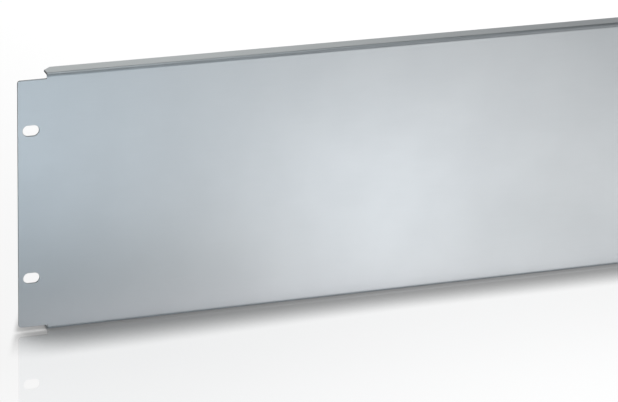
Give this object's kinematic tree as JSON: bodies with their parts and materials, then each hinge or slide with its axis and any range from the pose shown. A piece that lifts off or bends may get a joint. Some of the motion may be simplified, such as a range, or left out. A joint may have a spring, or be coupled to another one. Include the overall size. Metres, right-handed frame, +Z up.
{
  "type": "rack blanking panel",
  "caption": "Folded sheet-metal panel that closes an unused height of a 19 inch equipment rack, with its top and bottom edges turned back and slotted ears.",
  "frame": {"origin": "centre of the back of the sheet, on the plane that seats on the rack's rails", "axes": "+X to the right along the panel as seen from the front, +Y back into the rack, +Z up"},
  "size_m": [0.4826, 0.013, 0.177],
  "materials": {
    "zinc_sheet": "satin zinc plate on rolled steel sheet"
  },
  "bodies": {
    "root": {"blanking_panel": "zinc_sheet"}
  },
  "joints": []
}
